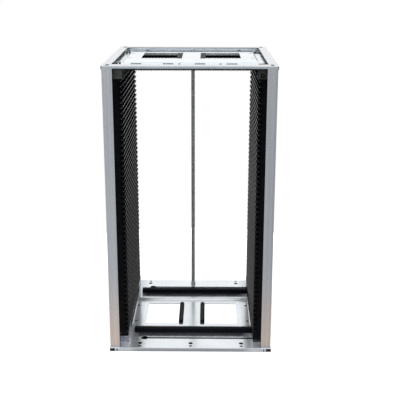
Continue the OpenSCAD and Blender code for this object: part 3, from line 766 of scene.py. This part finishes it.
    def card_finish(self, stage, wide, deep):
        """Glow of the card: dim at the rack, warm near it, grey beyond and white at the raised edge."""
        finish = Finish("front_card", Base_Color=(0, 0, 0, 1), Roughness=1.0, Specular_IOR_Level=0.0,
                        Emission_Strength=1.0)
        beside = finish.minus(finish.distance("X"), wide)
        before = finish.minus(finish.distance("Y"), deep)
        gap = finish.either(beside, before)
        left = finish.span(finish.axis("X"), 1, 0, start=-0.25, end=0.25)
        grey = finish.shades(left, tint(stage.card, 0.86), tint(stage.card, 1.08), 0, 1)
        warm = finish.shades(left, tint(stage.warm_card, 0.86), tint(stage.warm_card, 1.08), 0, 1)
        white = finish.shades(left, (0.95, 0.95, 0.95), (1, 1, 1), 0, 1)
        dim = finish.shades(left, tint(stage.card, 0.72), tint(stage.card, 0.8), 0, 1)
        near = finish.span(gap, 1, 0, start=0.06, end=0.37)
        edge = finish.span(gap, 1, 0, start=0.0095, end=0.0265)
        high = finish.span(finish.axis("Z"), 0, 1, start=0.5, end=0.65)
        ground = finish.blend(edge, finish.blend(near, grey, warm), dim)
        finish.feed("Emission Color", finish.blend(high, ground, white))
        return finish.material


# Plates, posts and feet

class MAGAZINE_OT_plates(bpy.types.Operator):
    """Finish both pressed plates with rounded folds"""

    bl_idname = "magazine.plates"
    bl_label = "Plates"
    # How far the return flanges are darkened towards the painted shade, where cut faces have 1 and bright
    # sheet has 0
    flange_dull = 0.25

    def execute(self, context):
        for node in every("{}_plate", ENDS):
            work = node_copy(node)
            self.mark_dull(work, *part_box(node))
            self.lean_rim(work, *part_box(node))
            self.round_folds(work, *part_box(node))
            softened(node, "plate_sheet", sizes().sheet_edge, 2, work)
        return {"FINISHED"}

    def mark_dull(self, work, low, high):
        """Mark the cut faces inside holes and slots for painted shade, but not those of the windows, and mark
        the return flanges to be darkened a little.
        """
        sheet = sizes().sheet
        dull = work.faces.layers.float.new("dull")
        flange_z = low.z if low.z < MM else high.z
        for face in work.faces:
            middle = face.calc_center_median()
            window = abs(middle.x) < WINDOW_REACH.x and abs(middle.y) < WINDOW_REACH.y
            inner = self.rim_gap(middle, high) > 2 * sheet
            upright = abs(face.normal.z) < 0.05
            heights = [vert.co.z for vert in face.verts]
            thin = max(heights) - min(heights) < 1.5 * sheet
            cut = upright and inner and thin and not window
            flange = abs(middle.z - flange_z) < ON_RIM
            # Cut faces get full painted shade, the return flanges a little darkening
            face[dull] = 1.0 if cut else self.flange_dull if flange else 0.0

    def lean_rim(self, work, low, high):
        """Let the inner side of the rim lean outwards a little under its return flange."""
        sheet = sizes().sheet
        flange = low.z + sheet if low.z < sheet else high.z - sheet
        for vert in work.verts:
            inner = abs(self.rim_gap(vert.co, high) - sheet) < ON_RIM
            if inner and abs(vert.co.z - flange) < ON_RIM:
                outwards = Vector((vert.co.x / high.x, vert.co.y / high.y, 0))
                vert.co += sizes().rim_lean * Vector([round(part) for part in outwards])

    def round_folds(self, work, low, high):
        """Round the outer edges of the folded rim and the bends of the pressed panel."""
        folds = [edge for edge in work.edges if self.on_rim(edge, low, high)]
        round_edges(work, folds, sizes().fold_radius, 4)
        bends = [edge for edge in work.edges if self.on_panel(edge)]
        round_edges(work, bends, sizes().bend_radius, 3)

    def on_panel(self, edge):
        """True for the bends between the sloping edge of the panel and the flat sheet."""
        if len(edge.link_faces) != 2 or edge.calc_length() < LONG_BEND:
            return False
        slopes = sorted(abs(face.normal.z) for face in edge.link_faces)
        return 0.2 < slopes[0] < 0.95 and slopes[1] > 0.99

    def on_rim(self, edge, low, high):
        """True for the edges between the outer side of the rim and a flat face."""
        if len(edge.link_faces) != 2:
            return False
        flat, upright = sorted(edge.link_faces, key=lambda face: -abs(face.normal.z))
        if abs(flat.normal.z) < 0.99 or abs(upright.normal.z) > 0.01:
            return False
        middle = (edge.verts[0].co + edge.verts[1].co) / 2
        if min(abs(middle.z - low.z), abs(middle.z - high.z)) > ON_RIM:
            return False
        outwards = Vector((middle.x, middle.y, 0)).dot(upright.normal) > 0
        return outwards and self.rim_gap(middle, high) < ON_RIM

    def rim_gap(self, point, high):
        """Distance of a point from the plate's outline, which has round corners."""
        corner = sizes().plate_corner
        x = max(abs(point.x) - (high.x - corner), 0)
        y = max(abs(point.y) - (high.y - corner), 0)
        return abs(corner - math.hypot(x, y))


class MAGAZINE_OT_posts(bpy.types.Operator):
    """Finish the four posts"""

    bl_idname = "magazine.posts"
    bl_label = "Posts"

    def execute(self, context):
        for node in every("post_{}_{}", SIDES, HANDS):
            work = node_copy(node)
            low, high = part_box(node)
            corners = [edge for edge in work.edges if self.at_corner(edge, low, high)]
            round_edges(work, corners, sizes().post_corner, 3)
            softened(node, "post_aluminium", sizes().sheet_edge / 2, 1, work)
        return {"FINISHED"}

    def at_corner(self, edge, low, high):
        """True for the upright edges on the outer side of a post."""
        outer = max(abs(low.x), abs(high.x))
        upright = abs(edge.verts[0].co.z - edge.verts[1].co.z) > ON_SIDE
        return upright and all(
            abs(abs(vert.co.x) - outer) < ON_SIDE
            and min(abs(vert.co.y - low.y), abs(vert.co.y - high.y)) < ON_SIDE
            for vert in edge.verts
        )


class MAGAZINE_OT_feet(bpy.types.Operator):
    """Finish the four feet"""

    bl_idname = "magazine.feet"
    bl_label = "Feet"

    def execute(self, context):
        for node in every("foot_{}_{}", SIDES, HANDS):
            softened(node, "foot_plastic", sizes().moulded_edge)
        return {"FINISHED"}


# Gear racks and grips

class MAGAZINE_OT_gear_racks(bpy.types.Operator):
    """Finish the four toothed tracks"""

    bl_idname = "magazine.gear_racks"
    bl_label = "Gear Racks"

    def execute(self, context):
        for node in every("gear_rack_{}_{}", ENDS, SIDES):
            softened(node, "gear_plastic", sizes().tooth_edge, 1)
        return {"FINISHED"}


class MAGAZINE_OT_grips(bpy.types.Operator):
    """Finish the soft edge trims of the carrying bridges"""

    bl_idname = "magazine.grips"
    bl_label = "Grip Trims"

    def execute(self, context):
        for node in every("grip_trim_{}_{}", ENDS, HANDS):
            softened(node, "grip_rubber", sizes().grip_edge, 3)
        return {"FINISHED"}


# Walls

def widened(node):
    """Bmesh of a wall's node with a skin on its outer side."""
    work = node_copy(node)
    outer = max((corner.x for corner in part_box(node)), key=abs)
    for vert in work.verts:
        if abs(vert.co.x - outer) < ON_SIDE:
            vert.co.x += math.copysign(sizes().wall_skin, outer)
    return work


class MAGAZINE_OT_comb_walls(bpy.types.Operator):
    """Finish the comb panels and grow their ribs"""

    bl_idname = "magazine.comb_walls"
    bl_label = "Comb Walls"

    def execute(self, context):
        for wall in WALLS:
            panel = f"{wall}_comb_panel"
            softened(panel, "comb_plastic", sizes().moulded_edge, 2, widened(panel))
            self.ribs(f"{wall}_comb_ribs", wall == "fixed")
            softened(f"{wall}_end_covers", "comb_plastic", sizes().moulded_edge)
        return {"FINISHED"}

    def ribs(self, node, mirrored):
        """One wall's ribs, as a row of copies of one rib."""
        low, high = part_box(node)
        tip, root = (high.x, low.x) if mirrored else (low.x, high.x)
        pattern = piece_from(self.rib(tip, root, low.y, high.y), "rib_pattern", "comb_plastic")
        pattern.data.shade_flat()
        pitch = sizes().slot_pitch
        thick = sizes().rib_root
        row = link(node + "_finished", bpy.data.meshes.new("row"))
        grow(row, row_tree(), Piece=pattern, Count=round((high.z - low.z - thick) / pitch) + 1,
             Start=(0, 0, low.z + thick / 2), Step=(0, 0, pitch), Finish=finish_of("comb_plastic"))
        bpy.data.objects.remove(pattern)
        settle(row, "comb_plastic", node)

    def rib(self, tip, root, front, rear):
        """Closed bar that tapers to its tip and runs out to a nose at both ends."""
        s = sizes()
        depth = root - tip
        half_tip = s.rib_tip / 2
        steps = [
            (0.0, half_tip - s.rib_round),
            (0.28 * s.rib_round, half_tip - 0.3 * s.rib_round),
            (s.rib_round, half_tip + 0.02 * s.rib_round),
            (abs(depth), s.rib_root / 2),
        ]
        outline = steps + [(inwards, -half) for inwards, half in reversed(steps)]
        lead = [0, 0.5 * s.rib_lead, s.rib_lead, s.rib_lead + MM]
        work = bmesh.new()
        rings = []
        for y in [front + step for step in lead] + [rear - step for step in reversed(lead)]:
            run = min(y - front, rear - y) / s.rib_lead
            limit = s.rib_nose / 2 + (s.rib_root - s.rib_nose) / 2 * min(1, run)
            back = s.rib_recess * max(0, 1 - run) ** 2
            ring = []
            for inwards, half in outline:
                x = tip + math.copysign(max(inwards, back + 0.3 * inwards), depth)
                z = math.copysign(min(abs(half), limit), half)
                ring.append(work.verts.new((x, y, z)))
            rings.append(ring)
        join_rings(work, rings)
        work.faces.new(rings[0])
        work.faces.new(rings[-1])
        bmesh.ops.recalc_face_normals(work, faces=work.faces)
        self.mark_worn(work)
        return work

    def mark_worn(self, work):
        """Mark the noses of a rib, which carry painted light, and the faces that boards polish."""
        polish = work.faces.layers.float.new("polish")
        nose = work.faces.layers.float.new("nose")
        for face in work.faces:
            face[nose] = float(abs(face.normal.y) > 0.9)
            face[polish] = max(float(0.3 < face.normal.z < 0.96), face[nose])


class MAGAZINE_OT_carriers(bpy.types.Operator):
    """Finish the folded carriers between walls and plates"""

    bl_idname = "magazine.carriers"
    bl_label = "Carriers"

    def execute(self, context):
        for node in every("{}_carrier_{}", WALLS, ENDS):
            softened(node, "carrier_zinc", sizes().sheet_edge, 2, widened(node))
        return {"FINISHED"}


# Screws, pins and shafts

class MAGAZINE_OT_screws(bpy.types.Operator):
    """Grow all cross-recessed screws where the plain ones stand"""

    bl_idname = "magazine.screws"
    bl_label = "Screws"
    groups = {
        "post_screws_bottom": "fastener_steel",
        "post_screws_top": "fastener_steel",
        "gear_rack_screws": "rack_screw_steel",
        "fixed_carrier_screws": "fastener_steel",
        "fixed_comb_screws": "fastener_steel",
        "sliding_comb_screws": "fastener_steel",
    }
    # Turn from one screw of a group to the next
    twist = 0.35

    def execute(self, context):
        for node, slot in self.groups.items():
            self.screws(node, slot)
        return {"FINISHED"}

    def screws(self, node, slot):
        """One group of like screws, with their heads up in the upper half of the rack and down below."""
        solids = loose_solids(node)
        low, high = solids[0]
        head_r = (high.x - low.x) / 2
        stem_r, head_h = self.stem(node, low, high)
        pattern = piece_from(self.screw(head_r, head_h, stem_r, high.z - low.z), "screw_pattern", slot)
        places = []
        turns = []
        for low, high in solids:
            upper = low.z + high.z > CAD_BOX[0].z + CAD_BOX[1].z
            places.append(((low.x + high.x) / 2, (low.y + high.y) / 2, high.z if upper else low.z))
            turns.append((0 if upper else math.pi, 0, self.twist * len(turns)))
        points = bpy.data.meshes.new("points")
        points.from_pydata(places, [], [])
        turn = points.attributes.new("turn", "FLOAT_VECTOR", "POINT")
        for item, value in zip(turn.data, turns):
            item.vector = value
        piece = link(node + "_finished", points)
        grow(piece, copies_tree(), Piece=pattern, Finish=finish_of(slot))
        bpy.data.objects.remove(pattern)
        settle(piece, slot, node)

    def stem(self, node, low, high):
        """Stem radius and head height of a group's first screw, from its own vertices."""
        work = node_copy(node)
        points = [vert.co.copy() for vert in work.verts
                  if all(low[i] - MM < vert.co[i] < high[i] + MM for i in range(3))]
        work.free()
        middle = (low + high) / 2
        radii = {round(math.hypot(point.x - middle.x, point.y - middle.y), 5) for point in points}
        heights = sorted({round(point.z, 5) for point in points})
        return min(radii), min(heights[1] - heights[0], heights[-1] - heights[-2])

    def screw(self, head_r, head_h, stem_r, reach):
        """Pan head with its crown at the origin and the stem below it."""
        s = sizes()
        crown = ((0, 0), (0.45, 0.02), (0.75, 0.14), (0.93, 0.36), (1, 0.68), (1, 0.95), (0.97, 1))
        head = [(out * head_r, -down * head_h) for out, down in crown]
        stem = [(stem_r, -head_h), (stem_r, -reach + 0.8 * stem_r), (0.3 * stem_r, -reach), (0, -reach)]
        work = revolve(head + stem, s.head_facets)
        cut_cross(work, 0.62 * head_r, min(s.recess_w, 0.3 * head_r), min(s.recess_depth, 0.6 * head_h))
        return work


def loose_solids(node):
    """Lowest and highest corner of each solid in a node."""
    work = merged_copy(node)
    seen = set()
    boxes = []
    for start in work.verts:
        if start in seen:
            continue
        seen.add(start)
        stack = [start]
        group = []
        while stack:
            vert = stack.pop()
            group.append(vert.co.copy())
            for edge in vert.link_edges:
                other = edge.other_vert(vert)
                if other not in seen:
                    seen.add(other)
                    stack.append(other)
        low = Vector([min(part) for part in zip(*group)])
        high = Vector([max(part) for part in zip(*group)])
        boxes.append((low, high))
    work.free()
    return boxes


def revolve(profile, facets):
    """Closed bmesh from a profile of radius and height, whose ends lie on the axis."""
    work = bmesh.new()
    rings = []
    for radius, height in profile:
        ring = []
        for k in range(facets if radius else 1):
            angle = 2 * math.pi * k / facets
            ring.append(work.verts.new((radius * math.cos(angle), radius * math.sin(angle), height)))
        rings.append(ring)
    join_rings(work, rings)
    bmesh.ops.recalc_face_normals(work, faces=work.faces)
    return work


def cut_cross(work, reach, width, depth):
    """Cut a cross recess into the crown of a screw head."""
    mesh = bpy.data.meshes.new("head")
    work.to_mesh(mesh)
    head = link("head", mesh)
    tool_work = bmesh.new()
    for turn in (0, math.pi / 2):
        bar = bmesh.ops.create_cube(tool_work, size=1)["verts"]
        for vert in bar:
            deep = vert.co.z < 0
            vert.co.x *= 2 * reach * (0.45 if deep else 1)
            vert.co.y *= width * (0.7 if deep else 1)
            vert.co.z = -depth if deep else depth
        bmesh.ops.rotate(tool_work, verts=bar, cent=(0, 0, 0), matrix=Matrix.Rotation(turn, 3, "Z"))
    tool_mesh = bpy.data.meshes.new("cross")
    tool_work.to_mesh(tool_mesh)
    tool_work.free()
    tool = link("cross", tool_mesh)
    cut = head.modifiers.new("recess", "BOOLEAN")
    cut.operation = "DIFFERENCE"
    cut.solver = "EXACT"
    cut.use_self = True
    cut.object = tool
    bake(head)
    work.clear()
    work.from_mesh(head.data)
    bpy.data.objects.remove(tool)
    bpy.data.objects.remove(head)


class MAGAZINE_OT_guides(bpy.types.Operator):
    """Finish the headed guide pins and their nuts"""

    bl_idname = "magazine.guides"
    bl_label = "Guide Pins"

    def execute(self, context):
        for node in ("guide_pins_bottom", "guide_pins_top", "guide_pin_nuts"):
            softened(node, "fastener_steel", sizes().turned_edge)
        return {"FINISHED"}


class MAGAZINE_OT_shafts(bpy.types.Operator):
    """Finish the pinion shafts with their pinions, bushes and rings"""

    bl_idname = "magazine.shafts"
    bl_label = "Pinion Shafts"

    def execute(self, context):
        s = sizes()
        for end in ENDS:
            softened(f"pinion_shaft_{end}", "shaft_steel", s.turned_edge)
            softened(f"shaft_clips_{end}", "shaft_steel", s.tooth_edge, 1)
            softened(f"shaft_bushes_{end}", "gear_plastic", s.tooth_edge, 1)
            for side in SIDES:
                softened(f"pinion_{end}_{side}", "gear_plastic", s.tooth_edge, 1)
        return {"FINISHED"}


class MAGAZINE_OT_stop_rod(bpy.types.Operator):
    """Finish the stop rod and its collar"""

    bl_idname = "magazine.stop_rod"
    bl_label = "Stop Rod"

    def execute(self, context):
        for node in ("stop_rod", "stop_rod_collar"):
            softened(node, "rod_steel", sizes().turned_edge)
        return {"FINISHED"}


# Panel and registration

GROUPS = {
    "magazine_sizes": MagazineSizes,
    "magazine_colours": MagazineColours,
    "magazine_stage": MagazineStage,
}
PIECES = (
    MAGAZINE_OT_stage,
    MAGAZINE_OT_plates,
    MAGAZINE_OT_posts,
    MAGAZINE_OT_feet,
    MAGAZINE_OT_gear_racks,
    MAGAZINE_OT_grips,
    MAGAZINE_OT_comb_walls,
    MAGAZINE_OT_carriers,
    MAGAZINE_OT_screws,
    MAGAZINE_OT_guides,
    MAGAZINE_OT_shafts,
    MAGAZINE_OT_stop_rod,
)


class MAGAZINE_PT_panel(bpy.types.Panel):
    """Lists the pieces of the magazine"""

    bl_idname = "MAGAZINE_PT_panel"
    bl_label = "Board Magazine"
    bl_space_type = "VIEW_3D"
    bl_region_type = "UI"
    bl_category = "Magazine"

    def draw(self, context):
        for piece in PIECES:
            self.layout.operator(piece.bl_idname)
        for name, group in GROUPS.items():
            box = self.layout.box()
            for setting in group.__annotations__:
                box.prop(getattr(context.scene, name), setting)


def register():
    for name, group in GROUPS.items():
        bpy.utils.register_class(group)
        setattr(bpy.types.Scene, name, PointerProperty(type=group))
    for piece in (*PIECES, MAGAZINE_PT_panel):
        bpy.utils.register_class(piece)


def unregister():
    for piece in (MAGAZINE_PT_panel, *reversed(PIECES)):
        bpy.utils.unregister_class(piece)
    for name, group in GROUPS.items():
        delattr(bpy.types.Scene, name)
        bpy.utils.unregister_class(group)


def main():
    register()
    for piece in PIECES:
        area, name = piece.bl_idname.split(".")
        getattr(getattr(bpy.ops, area), name)()


if __name__ == "__main__":
    main()
